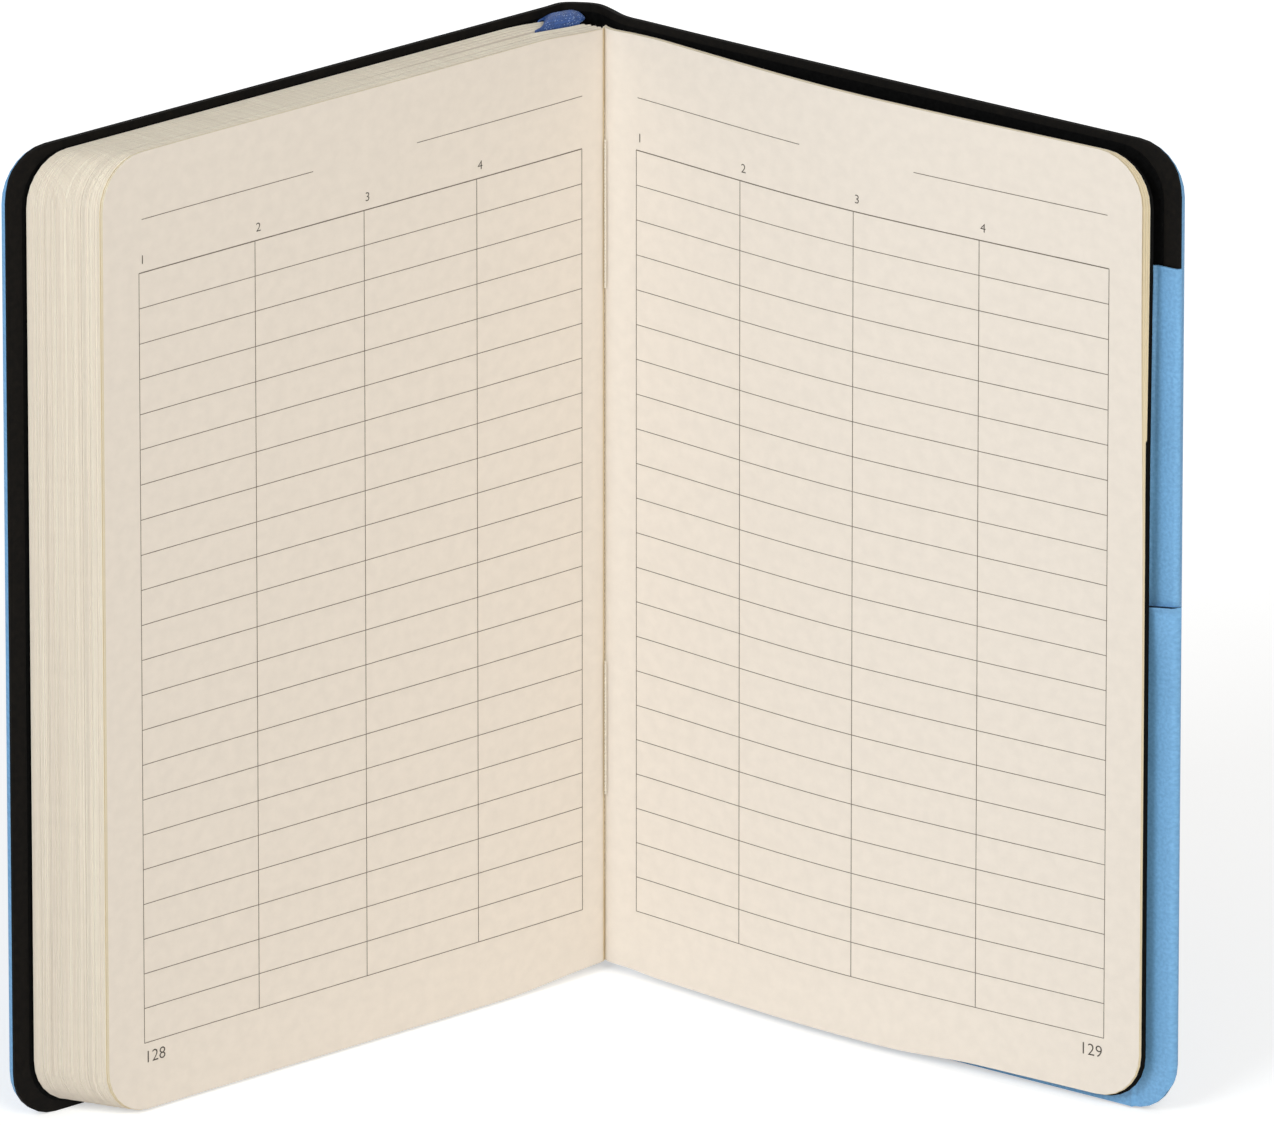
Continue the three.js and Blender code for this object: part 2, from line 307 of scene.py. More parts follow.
class NotebookPockets(PropertyGroup):
    tall: length("Tall pocket", "Height of the tall pocket's mouth", 158)
    card: length("Card pocket", "Height of the card pocket's mouth", 94.7)
    rim: length("Rim", "From the cover's foot to theirs", 0.45)
    margin: length("Spine margin", "From the hinge crease to the pockets", 10)
    ridge: length("Ridge", "Step at the endpaper's edge", 0.32)
    wrap: length("Wrap", "Radius of their turn round the fore edge", 0.8)
    gape: length("Gape", "Opening of the card pocket's mouth", 0.8)
    lift: length("Mouth lift", "Rise of that mouth at the fore edge", 0.9)
    hem: length("Hem", "Extra thickness at its turned mouth", 0.65)


class NotebookPages(PropertyGroup):
    leaf: length("Leaf thickness", "Thickness of one leaf of paper", 0.105)
    corner: length("Corner radius", "Radius of the pages' outer corners", 9)
    sections: count("Sections", "Full sewn sections on the left", 8)
    sheets: count("Sheets", "Folded sheets in a section", 4)
    uneven: length("Unevenness", "Stray of the leaves' trimmed edges", 0.07)


class NotebookPrint(PropertyGroup):
    rows: count("Rows", "Rows of the ruled table", 22)
    top: length("Table top", "Height of the heavier line over the table", 156.5)
    foot: length("Table foot", "Height of the lowest rule", 13.1)
    title: length("Title rules", "Height of the two thin rules over the table", 166.3)
    rule: length("Rule width", "Width of a thin printed rule", 0.13)
    heavy: length("Heavy rule width", "Width of the rule over the table", 0.2)
    numeral: length("Page number", "Height of the page numbers", 2.3)
    label: length("Column number", "Height of the numbers over the columns", 1.7)
    number: count("First number", "Number of the left page", 128)


class NotebookRibbon(PropertyGroup):
    width: length("Width", "Width of the woven ribbon", 10)
    thickness: length("Thickness", "Thickness of the woven ribbon", 0.22)
    rise: length("Rise", "Height over the head of the block", 1.5)
    glued: length("Glued end", "Length glued behind the first section", 18)
    tail: length("Tail", "Length between the sections", 168)
    lean: length("Lean", "Lean of the loop towards the spine", 2.4)
    gather: length("Gather", "Narrowing of the loop at its back", 4.2)


class NotebookColours(PropertyGroup):
    skin: colour("Cover", "Blue of the outer sheet", "6FA6D4")
    pocket: colour("Pocket", "Blue of the pockets", "74ACDA")
    board: colour("Board", "Black of the board's edge", "0A0806")
    endpaper: colour("Endpaper", "Black of the endpapers", "060606")
    paper: colour("Paper", "Cream of the pages", "E9E0D5")
    # Painted shade: the leaves behind the open page get a darker, tanner paper that stands in for
    # the shade in their stack
    rear: colour("Rear paper", "Cream of the leaves behind the open page", "DCCCAB")
    # Painted light: the trimmed edges' cream is lighter than the paper's face, standing in for the
    # light on the fore edge
    cut_edge: colour("Trimmed edge", "Cream of the trimmed leaf edges", "FFF5E2")
    ink: colour("Ink", "Grey of the printed rules", "6E665C")
    ribbon: colour("Ribbon", "Blue of the ribbon", "355797")
    thread: colour("Thread", "Off-white of the sewing thread", "EFE8DA")


class NotebookStage(PropertyGroup):
    distance: length("Camera distance", "From the camera to the book", 4500)
    elevation: amount("Camera elevation", "Angle above the horizon", math.radians(20.81),
                      unit="ROTATION", subtype="ANGLE")
    lens: amount("Focal length", "Focal length of the camera", 720.5, unit="CAMERA")
    sky: amount("Sky", "Strength of the even light", 0.3)
    left: amount("Left light", "Power of the soft light on the left", 18, unit="POWER")
    right: amount("Right light", "Power of the soft light on the right", 19, unit="POWER")


GROUPS = {
    cls.__name__.replace("Notebook", "notebook_").lower(): cls
    for cls in (NotebookCovers, NotebookPockets, NotebookPages, NotebookPrint, NotebookRibbon,
                NotebookColours, NotebookStage)
}


# Sheets: a flat panel is cut and rounded, and then stood on a line

RIM_ANGLE = 1.2
FLAT_ENOUGH = 0.6
SHARP_ANGLE = math.radians(35)


def panel(start, end, low, high, near, far, corners=(), columns=(), levels=(), rounding=0.0):
    """Flat sheet in x and z from y = near to y = far. corners are (x, z, radius), and columns and
    levels are where it is divided so that it can bend. Faces on its rim get material 1."""
    upright = (
        Matrix.Translation(((start + end) / 2, near, (low + high) / 2))
        @ Matrix.Rotation(math.pi / 2, 4, "X")
        @ Matrix.Diagonal((end - start, high - low, 1, 1))
    )
    bm = bmesh.new()
    bmesh.ops.create_grid(bm, x_segments=1, y_segments=1, size=0.5, matrix=upright)
    for x, z, radius in corners:
        corner = min(bm.verts, key=lambda v: (v.co - Vector((x, near, z))).length)
        bmesh.ops.bevel(bm, geom=[corner], offset=radius, offset_type="OFFSET", segments=7,
                        profile=0.5, affect="VERTICES", material=-1)
    cuts = [((x, 0, 0), (1, 0, 0)) for x in columns if start < x < end]
    cuts += [((0, 0, z), (0, 0, 1)) for z in levels if low < z < high]
    for place, normal in cuts:
        bmesh.ops.bisect_plane(bm, geom=[*bm.verts, *bm.edges, *bm.faces], dist=1e-4,
                               plane_co=place, plane_no=normal)
    grown = bmesh.ops.extrude_face_region(bm, geom=bm.faces[:])["geom"]
    bmesh.ops.translate(bm, vec=(0, far - near, 0),
                        verts=[v for v in grown if isinstance(v, bmesh.types.BMVert)])
    bmesh.ops.recalc_face_normals(bm, faces=bm.faces)
    if rounding:
        rim = [e for e in bm.edges if e.calc_face_angle(0) > RIM_ANGLE]
        bmesh.ops.bevel(bm, geom=rim, offset=rounding, offset_type="OFFSET", segments=2,
                        profile=0.5, affect="EDGES", clamp_overlap=True, material=-1)
    bm.normal_update()
    flat = bm.loops.layers.uv.new("Sheet")
    for face in bm.faces:
        face.material_index = 1 if abs(face.normal.y) < FLAT_ENOUGH else 0
        face.smooth = True
        for loop in face.loops:
            x, y, z = loop.vert.co
            loop[flat].uv = ((x + y) * MM, (z + y) * MM)
    return bm


def stand(bm, place):
    """Bends a flat panel: place gives the plan point of a vertex's x, y and z, and may add a new
    height."""
    for v in bm.verts:
        point = place(*v.co)
        v.co[: len(point)] = point
    return bm


def gather(parts):
    """One mesh of several."""
    whole = bmesh.new()
    for part in parts:
        mesh = bpy.data.meshes.new("part")
        part.to_mesh(mesh)
        part.free()
        whole.from_mesh(mesh)
        bpy.data.meshes.remove(mesh)
    return whole


def placed(name, data):
    """Adds an object to the scene."""
    made = bpy.data.objects.new(name, data)
    bpy.context.scene.collection.objects.link(made)
    return made


def finished(name, bm, *materials):
    """Puts a piece shaped in millimetres into the scene, in metres."""
    old = bpy.data.objects.get(name)
    if old:
        bpy.data.objects.remove(old)
    bmesh.ops.scale(bm, vec=(MM, MM, MM), verts=bm.verts)
    mesh = bpy.data.meshes.new(name)
    bm.to_mesh(mesh)
    bm.free()
    for material in materials:
        mesh.materials.append(material)
    mesh.set_sharp_from_angle(angle=SHARP_ANGLE)
    return placed(name, mesh)


def declare(piece, slot, *nodes, body=None):
    """Hides the parts that a piece stands for, and attaches it to the body that it rides on unless
    it bends between two. slot, the material that it stands for, is not used."""
    if body:
        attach(piece, body)
    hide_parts(*nodes)


def hinge_leaf(piece):
    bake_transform(piece)


# Materials


def feed(tree, node, inputs):
    """Gives a node's sockets their values, or links them to sockets, or to what a node gives."""
    for socket, value in inputs.items():
        if isinstance(value, bpy.types.Node):
            value = next(output for output in value.outputs if output.enabled)
        if isinstance(value, bpy.types.NodeSocket):
            tree.links.new(value, node.inputs[socket])
        else:
            node.inputs[socket].default_value = value


def put(tree, kind, inputs=None, **properties):
    """Adds a shader node of a kind, with its properties and what its sockets are fed."""
    made = tree.nodes.new("ShaderNode" + kind)
    for name, value in properties.items():
        setattr(made, name, value)
    feed(tree, made, inputs or {})
    return made


def fresh(name, flat=False):
    """An empty material, its node tree and shader, and the coordinates of a piece in metres:
    the piece's own, or those of the flat sheet that it was bent from."""
    material = bpy.data.materials.get(name) or bpy.data.materials.new(name)
    material.use_nodes = True
    tree = material.node_tree
    tree.nodes.clear()
    shader = put(tree, "BsdfPrincipled")
    put(tree, "OutputMaterial", {"Surface": shader})
    if flat:
        place = put(tree, "UVMap", uv_map="Sheet").outputs["UV"]
    else:
        place = put(tree, "TexCoord").outputs["Object"]
    return material, tree, shader, place


def shade(code, factor):
    return (*(min(1.0, c * factor) for c in code[:3]), 1.0)


def mottle(tree, place, scale, detail, dark, light):
    """Colour that wanders between two shades, and the noise behind it."""
    noise = put(tree, "TexNoise", {"Vector": place, "Scale": scale, "Detail": detail})
    ramp = put(tree, "ValToRGB", {"Fac": noise})
    for stop, position, shown in zip(ramp.color_ramp.elements, (0.35, 0.65), (dark, light)):
        stop.position, stop.color = position, shown
    return ramp, noise


def dress(tree, shader, tone, cloud, matt, relief=None, gloss=0.5):
    """Gives a shader its colour, a roughness that follows the clouds from one value of matt to
    the other, and a relief, which is a height, its size in metres and its strength."""
    rough = put(tree, "MapRange", {"Value": cloud, "To Min": matt[0], "To Max": matt[1]})
    feed(tree, shader, {"Base Color": tone, "Roughness": rough, "Specular IOR Level": gloss})
    if relief:
        height, size, strength = relief
        bump = put(tree, "Bump", {"Height": height, "Distance": size, "Strength": strength})
        feed(tree, shader, {"Normal": bump})


def leatherette(name, code, roughness):
    """Polyurethane-coated imitation leather: a satin film over fine pebble grain, a little
    cloudy, that catches a soft light along its rounded edges."""
    material, tree, shader, place = fresh(name, flat=True)
    clouds, cloud = mottle(tree, place, 90, 3, shade(code, 0.97), shade(code, 1.03))
    speck, _ = mottle(tree, place, 1700, 3, (0.84, 0.87, 0.9, 1), (1.12, 1.09, 1.06, 1))
    tone = put(tree, "Mix", {0: 1.0, 6: clouds, 7: speck}, data_type="RGBA", blend_type="MULTIPLY")
    # Grain of about 0.5 mm, a little coarser than the real 0.3 mm so that it shows
    grain = put(tree, "TexVoronoi", {"Vector": place, "Scale": 2000.0}, feature="SMOOTH_F1")
    pores = put(tree, "TexNoise", {"Vector": place, "Scale": 5200.0, "Detail": 2.0})
    height = put(tree, "Math", {0: grain, 1: pores}, operation="ADD")
    dress(tree, shader, tone, cloud, (roughness - 0.06, roughness + 0.08), (height, 0.00006, 0.7))
    feed(tree, shader, {"Sheen Weight": 0.08})
    return material


def pressed_fibre(name, code, roughness, fibre_scale, gloss):
    """Dyed fibreboard or endpaper: matt, with short fibres that lift its black unevenly."""
    material, tree, shader, body = fresh(name)
    tone, cloud = mottle(tree, body, fibre_scale, 5, shade(code, 0.6), shade(code, 1.9))
    fibre = put(tree, "TexNoise", {"Vector": body, "Scale": fibre_scale * 4, "Detail": 3.0})
    dress(tree, shader, tone, cloud, (roughness - 0.08, roughness + 0.08),
          (fibre, 0.00004, 0.5), gloss)
    return material


def page_paper(code, name="uncoated_book_paper"):
    """Uncoated cream book paper: matt, faintly cloudy where light falls through its fibres,
    with a fine tooth."""
    material, tree, shader, place = fresh(name, flat=True)
    tone, cloud = mottle(tree, place, 420, 6, shade(code, 0.975), shade(code, 1.015))
    tooth = put(tree, "TexNoise", {"Vector": place, "Scale": 3600.0, "Detail": 3.0})
    dress(tree, shader, tone, cloud, (0.84, 0.94), (tooth, 0.00002, 0.35), 0.25)
    return material


def trimmed_edge(code):
    """Guillotined edge of the leaves: cream streaks that run with the leaves, some a little darker
    than others. Its cream is painted lighter than the paper's face, for the light that falls on
    the fore edge: painted light."""
    material, tree, shader, body = fresh("guillotined_paper_edge")
    turned = put(tree, "Mapping", {"Vector": body, "Rotation": (0, 0, math.pi / 2 - LEFT_ANGLE)},
                 vector_type="TEXTURE")
    streaks = put(tree, "Mapping", {"Vector": turned, "Scale": (4200, 90, 14)})
    tone, cloud = mottle(tree, streaks, 1, 4, shade(code, 0.86), shade(code, 1.04))
    dress(tree, shader, tone, cloud, (0.85, 0.95), gloss=0.2)
    return material


def speckled(name, code, scale, low, high, matt):
    """Material of one colour, varied only by fine specks of low to high times its lightness."""
    material, tree, shader, body = fresh(name)
    tone, cloud = mottle(tree, body, scale, 3, shade(code, low), shade(code, high))
    dress(tree, shader, tone, cloud, matt)
    return material


def offset_ink(name, code):
    """Offset printing ink on uncoated paper: soft dark grey that breaks up on the tooth."""
    return speckled(name, code, 2600, 0.85, 1.3, (0.8, 0.9))


def waxed_thread(code):
    """Waxed linen thread: off-white, a little shiny where the wax fills its twist."""
    return speckled("waxed_linen_thread", code, 2400, 0.85, 1.03, (0.55, 0.75))


def woven(name, code, pale, pitch, roughness):
    """Plain weave: two sets of threads that pass over and under each other, each thread painted
    darker at its sides for the shade between the threads, with a few pale threads showing through."""
    material, tree, shader, place = fresh(name, flat=True)
    # A wave's band is two threads wide. They are drawn coarser than the real 0.15 mm to show
    waves = [
        put(tree, "TexWave", {"Vector": place, "Scale": 157.0 / pitch,
                              "Distortion": 0.6, "Detail": 1.0},
            wave_type="BANDS", bands_direction=axis).outputs["Fac"]
        for axis in "XY"
    ]
    weave = put(tree, "Math", {0: waves[0], 1: waves[1]}, operation="MAXIMUM")
    tone, cloud = mottle(tree, place, 700, 3, shade(code, 0.8), shade(code, 1.25))
    # Painted shade: between the threads the colour runs down towards 0.35 times its own
    over = put(tree, "MapRange", {"Value": weave, "To Min": 0.45, "To Max": 1.0})
    dark = put(tree, "Mix", {0: over, 6: shade(code, 0.35), 7: tone}, data_type="RGBA")
    specks = put(tree, "TexVoronoi", {"Vector": place, "Scale": 2400.0})
    few = put(tree, "Math", {0: specks, 1: 0.22}, operation="LESS_THAN")
    shown = put(tree, "Mix", {0: few, 6: dark, 7: pale}, data_type="RGBA")
    dress(tree, shader, shown, cloud, (roughness - 0.1, roughness + 0.1), (weave, 0.00006, 0.7))
    return material


# Pieces


def cover_columns(first, last):
    """Divisions of a cover sheet: wide on the flat, close where it bends or rolls."""
    wide = spread(2, COVER.length - 2, 48)
    close = spread(FRONT_MARK - 5, BACK_MARK + 5, 76)
    close += spread(0, 1.6, 8) + spread(COVER.length - 1.6, COVER.length, 8)
    return [s for s in sorted(wide + close) if first + 0.3 < s < last - 0.3]


def cover_sheet(covers, near, far, inset, margin, front, rounding):
    """Half of the whole cover from its fore edge to the middle of the spine."""
    seam = 0.005
    ends = (inset, SPINE_MARK - seam) if front else (SPINE_MARK + seam, COVER.length - inset)
    outer = ends[0] if front else ends[1]
    low, high = margin, covers.height - margin
    bm = panel(*ends, low, high, near, far, columns=cover_columns(*ends), rounding=rounding,
               corners=[(outer, z, covers.corner) for z in (low, high)])

    def rolled(x, y, z):
        """The outer sheet rolls over the board's edge, which is thinner there."""
        edge = x if front else COVER.length - x
        depth = max(0.0, 1 - abs(y - covers.skin) / (covers.skin - 0.05))
        roll = covers.roll * ease(1 - edge / 1.5) * depth
        return (*COVER.place(x, y + roll), arched(x, z, covers.arch))

    return stand(bm, rolled)


class NOTEBOOK_OT_covers(Operator):
    """Makes both covers and the spine: the blue outer sheet, the black board and its endpapers"""

    bl_idname = "notebook.covers"
    bl_label = "Covers"

    def execute(self, context):
        covers, colours = settings(context, "covers"), settings(context, "colours")
        blue = leatherette("coated_imitation_leather", colours.skin, 0.5)
        black = pressed_fibre("dyed_flexible_board", colours.board, 0.7, 900, 0.09)
        dull = pressed_fibre("dyed_endpaper", colours.endpaper, 0.75, 1400, 0.06)
        skin, inner, rounding = covers.skin, covers.skin + covers.board, covers.rounding
        paper, glue = 0.1, 0.01
        layers = (
            ("skin", 0.0, skin, 0.0, covers.lip, blue, "blue_leatherette", rounding),
            ("board", skin + glue, inner, 0.0, 0.0, black, "black_board", rounding / 2),
            ("pastedown", inner + glue, inner + paper, covers.inset, covers.margin, dull,
             "black_endpaper", 0.0),
        )
        spine_nodes = {"skin": ["spine_skin"], "board": ["spine_backing"]}
        half, level = covers.crease / 2, back_outer(BACK_CREASE)
        bends = (
            ("front", COVER.place(FRONT_MARK + half, 0), COVER.place(FRONT_MARK - half, 0)),
            ("back", RIGHT.plan(BACK_CREASE - half, level), RIGHT.plan(BACK_CREASE + half, level)),
        )
        for side, start, end in bends:
            for layer, near, far, inset, margin, material, slot, edge in layers:
                bm = cover_sheet(covers, near, far, inset, margin, side == "front", edge)
                piece = finished(f"{side}_{layer}_sheet", bm, material, material)
                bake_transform(piece)
                declare(piece, slot, f"{side}_{layer}", *spine_nodes.get(layer, []))
        return {"FINISHED"}


class NOTEBOOK_OT_pockets(Operator):
    """Makes the tall pocket and the card pocket inside the back cover"""

    bl_idname = "notebook.pockets"
    bl_label = "Pockets"

    def execute(self, context):
        pockets, covers = settings(context, "pockets"), settings(context, "covers")
        blue = leatherette("pocket_imitation_leather", settings(context, "colours").pocket, 0.48)
        # Dark navy for the card pocket's rim: partly the cut edge of the coated cloth, whose
        # backing is dark, and partly painted shade for the shadow in the slit of its mouth
        cut = pressed_fibre("pocket_cut_edge_and_slit_shade", linear("0E1A2B"), 0.7, 1200, 0.2)
        start = BACK_MARK + pockets.margin
        turn = COVER.length + 0.2 - pockets.wrap
        end = turn + 1.35 * pockets.wrap
        hub = 1.84 - pockets.wrap
        step = COVER.length - covers.inset

        for node, near, far, top, gape, lift, hem in (
            ("tall_pocket", 2.06, 2.36, pockets.tall, 0.12, 0.0, 0.25),
            ("card_pocket", 2.42, 2.72, pockets.card, pockets.gape, pockets.lift, pockets.hem),
        ):

            def place(x, y, z):
                """Steps down past the endpaper's edge in a groove that runs a little aslant,
                stands open at the mouth and turns round the cover's fore edge."""
                fold = x - step + 1.4 + (158 - z) * 0.02
                level = y - pockets.ridge * ease(fold / 0.6)
                level += 0.2 * math.exp(-((fold / 0.35) ** 2))
                bow = max(0.0, 1 - ((x - COVER.length + 4.2) / 4.0) ** 2)
                level += gape * (0.25 + 0.75 * bow) * ease(1 - (top - z) / 14)
                turned = ease(1 - (top - z) / 1.3) * (1 - ease((x - turn - 0.1) / 0.7))
                level += hem * turned * (y > (near + far) / 2)
                angle = max(0.0, x - turn) / pockets.wrap
                point = COVER.place(min(x, turn) + (level - hub) * math.sin(angle),
                                    hub + (level - hub) * math.cos(angle))
                raised = z + lift * ease((x - COVER.length + 9) / 9) * ease(z / top * 2 - 1)
                return (*point, arched(x, raised, covers.arch))

            columns = [*spread(start, end, 36), *spread(step - 5, turn, 36), *spread(turn, end, 6)]
            levels = [*spread(top - 16, top - 2, 8), top - 1.3, top - 0.9, top - 0.45,
                      *spread(12, top - 20, 8)]
            bm = panel(start, end, pockets.rim, top, near, far, columns=columns, levels=levels,
                       corners=[(end, pockets.rim, covers.corner - pockets.rim)], rounding=0.08)
            # The card pocket's rim takes that dark colour: its cut edge, darkened further as
            # painted shade of the slit
            rim = cut if node == "card_pocket" else blue
            piece = finished(f"{node}_sheet", stand(bm, place), blue, rim)
            declare(piece, "blue_pocket", node, body="back_cover")
        return {"FINISHED"}


def leaf_depths(pages):
    """Depth of every leaf of the left side at the fore edge, from the front, with uneven gaps."""
    draw = random.Random(7)
    steps = [draw.uniform(0.75, 1.25) for _ in range((2 * pages.sections + 1) * pages.sheets)]
    scale = (BLOCK - pages.leaf) / sum(steps[:-1])
    return list(accumulate((step * scale for step in steps[:-1]), initial=0.0))


def fold_between(start, control, end, count=5):
    arc = interpolate_bezier(start, start.lerp(control, 0.6), end.lerp(control, 0.6), end, count)
    return [Vector(p[:2]) for p in arc]


def folded_sheet(pages, run, draw, place=None, levels=()):
    """One folded sheet of paper of two leaves, trimmed with rounded corners at both fore edges."""
    stray = pages.uneven
    start = draw.uniform(-stray, stray)
    end = run.length + draw.uniform(-stray, stray)
    low, high = (z + draw.uniform(-stray, stray) * 0.7 for z in (FOOT, HEAD))
    bm = panel(start, end, low, high, 0, -pages.leaf, columns=run.marks[1:-1], levels=levels,
               corners=[(x, z, pages.corner) for x in (start, end) for z in (low, high)])

    def on_left(x, y, z):
        point = run.place(x, y)
        return (*point, left_height(point, z))

    return stand(bm, place or on_left)


class NOTEBOOK_OT_sections(Operator):
    """Makes the full sewn sections on the left, each of folded sheets of paper"""

    bl_idname = "notebook.sections"
    bl_label = "Sections"

    def execute(self, context):
        pages, colours = settings(context, "pages"), settings(context, "colours")
        paper, edge = page_paper(colours.paper), trimmed_edge(colours.cut_edge)
        fore = leaf_depths(pages)
        draw = random.Random(11)
        for number in range(1, pages.sections + 1):
            later = pages.sections - number
            room = RIBBON_ROOM if number < RIBBON_SECTION else 0
            front = SECTION_START + later * SECTION_PITCH + room
            first = pages.sheets * (1 + 2 * later)
            sheets = []
            for k in range(pages.sheets):
                nest = k * SECTION / (2 * pages.sheets)
                depths = (front + nest, front + SECTION - nest)
                fores = (fore[first + k], fore[first + 2 * pages.sheets - 1 - k] + pages.leaf)
                middle, round_off = sum(depths) / 2, (depths[1] - depths[0]) / 2
                fold = fold_place(front + SECTION / 2) + nest * 0.8
                near_fold = spread(fold + 9, fold + round_off, 3)
                lines = [
                    [LEFT.plan(x, left_surface(x, d, f))
                     for x in [*spread(fore_edge(f), fold + 12, 10), *near_fold]]
                    for d, f in zip(depths, fores)
                ]
                nose = LEFT.plan(fold - round_off * 0.35, left_surface(fold, middle, middle))
                arc = fold_between(lines[0][-1], nose, lines[1][-1], 7)
                run = Run(lines[0] + arc[1:-1] + lines[1][::-1])
                sheets.append(folded_sheet(pages, run, draw))
            piece = finished(f"sewn_section_{number}", gather(sheets), paper, edge)
            declare(piece, "cream_paper", f"section_{number}", body="text_block")
        return {"FINISHED"}


FAN_LEVELS = spread(60, 175, 16)


def last_section_run(depth, fore, inset, step):
    """Line of one sheet of the last section: down the left page into the tight crease of the
    fold and out along the right leaf."""
    left = [*spread(fore_edge(fore), 14, 30), *spread(12, 1.2, 9)]
    right = [*spread(1.2, 12, 16), *spread(14, RIGHT_LEAF + step, 34)]
    down = [LEFT.plan(x, left_surface(x, depth, fore)) for x in left]
    out = [RIGHT.plan(x, right_surface(x) + inset) for x in right]
    # The crease lies behind the place where the two leaves' lines cross
    mouth = intersect_line_line(*(p.to_3d() for p in (*down[-2:], *out[:2])))[0].to_2d()
    toward, along = (down[-1] - down[-2]).normalized(), (out[1] - out[0]).normalized()
    back = (toward - along).normalized()
    crease = mouth + back * CREASE_DEPTH
    side = Vector((back.y, -back.x)) * 0.12
    inward = fold_between(down[-1], mouth - side, crease - side * 0.3, 6)[1:]
    outward = fold_between(crease + side * 0.3, mouth + side, out[0], 6)[:-1]
    return Run(down + inward + outward + out)


class NOTEBOOK_OT_last_section(Operator):
    """Makes the open last section, both visible pages and the leaves behind them"""

    bl_idname = "notebook.last_section"
    bl_label = "Last section"

    def execute(self, context):
        pages, colours = settings(context, "pages"), settings(context, "colours")
        paper, edge = page_paper(colours.paper), trimmed_edge(colours.cut_edge)
        fore = leaf_depths(pages)
        draw = random.Random(5)
        # How far each sheet lies behind the open page where they fan out
        insets = (0.0, 0.34, 0.55, 0.76)
        sheets = []

        def fanned(run, fold, inset, pull=0.0):
            """The rear leaves lie closer at the fore edge and fan out towards the head, where the
            front ones are pulled back a little."""

            def place(x, y, z):
                close = ease((x - fold - 40) / 60) * (0.62 - 0.55 * ease((z - 110) / 60))
                point = run.place(x, y) - RIGHT.across * close * inset
                point -= RIGHT.along * (pull * ease((x - fold - 60) / 50) * ease((z - 95) / 60))
                height = left_height if x < fold else right_height
                return (*point, height(point, z))

            return place

        for k in range(pages.sheets):
            run = last_section_run(k * LAST_HALF / pages.sheets, fore[k], insets[k], 0.16 * k)
            fold = run.nearest(RIGHT.plan(1.2, right_surface(1.2) + insets[k]))
            place = fanned(run, fold, insets[k], 0.65 - 0.25 * k)
            sheets.append(folded_sheet(pages, run, draw, place, FAN_LEVELS))
        # Painted shade: darker, tanner paper for the rear leaves, standing in for the shade
        # between them
        painted_shade_paper = page_paper(colours.rear, "shaded_rear_book_paper")
        groups = (
            ("open_page_sheet", sheets[:1], paper, "right_leaf"),
            ("rear_page_sheets", sheets[1:], painted_shade_paper, "rear_leaves"),
        )
        for name, members, face, leaf in groups:
            piece = finished(name, gather(members), face, edge)
            hinge_leaf(piece)
            declare(piece, "cream_paper", "last_section_left", leaf, f"{leaf}_root")

        # Black sheet behind the pages, a little wider than they are, whose edge shows beside the
        # open leaf as a dark strip: painted shadow on the pocket
        dull = pressed_fibre("dyed_endpaper", colours.endpaper, 0.75, 1400, 0.06)
        inset = insets[-1] + 0.22
        run = Run([RIGHT.plan(x, right_surface(x) + inset)
                   for x in spread(1.6, RIGHT_LEAF + 1.2, 50)])
        end = run.length
        bm = panel(0, end, FOOT, HEAD, 0, pages.leaf, columns=run.marks[1:-1], levels=FAN_LEVELS,
                   corners=[(end, z, pages.corner) for z in (FOOT, HEAD)])
        # Painted shadow: this black sheet stands in for the shade that falls on the pocket beside
        # the leaves
        piece = finished("shadow_strip_black_sheet", stand(bm, fanned(run, 0, inset)), dull, dull)
        hinge_leaf(piece)
        return {"FINISHED"}


def left_page(x, y, _z):
    return LEFT.plan(x, left_surface(x, 0, 0) + y)


def right_page(x, y, _z):
    return RIGHT.plan(x, right_surface(x) - y)


PRINT_LIFT = (0.012, 0.03)


def rule(x0, x1, z0, z1):
    columns = spread(x0, x1, max(1, round((x1 - x0) / 3)))[1:-1]
    return panel(x0, x1, z0, z1, *PRINT_LIFT, columns=columns)


def numerals(text, height, x, z, reading, align):
    """Printed numbers in a plain face, laid flat over the page. reading is -1 where x runs
    against the direction of reading."""
    curve = bpy.data.curves.new("numerals", "FONT")
    curve.body = text
    curve.align_x = align
    curve.size = height / 0.72
    curve.offset = -0.012 * height
    curve.resolution_u = 3
    curve.extrude = (PRINT_LIFT[1] - PRINT_LIFT[0]) / 2
    source = placed("numerals", curve)
    mesh = source.to_mesh()
    bm = bmesh.new()
    bm.from_mesh(mesh)
    source.to_mesh_clear()
    bpy.data.objects.remove(source)
    bpy.data.curves.remove(curve)
    bmesh.ops.remove_doubles(bm, verts=bm.verts, dist=1e-4)
    middle = sum(PRINT_LIFT) / 2
    for v in bm.verts:
        v.co = Vector((x + reading * v.co.x, middle + v.co.z, z + v.co.y))
    bmesh.ops.recalc_face_normals(bm, faces=bm.faces)
    for face in bm.faces:
        face.material_index = 2
    return bm


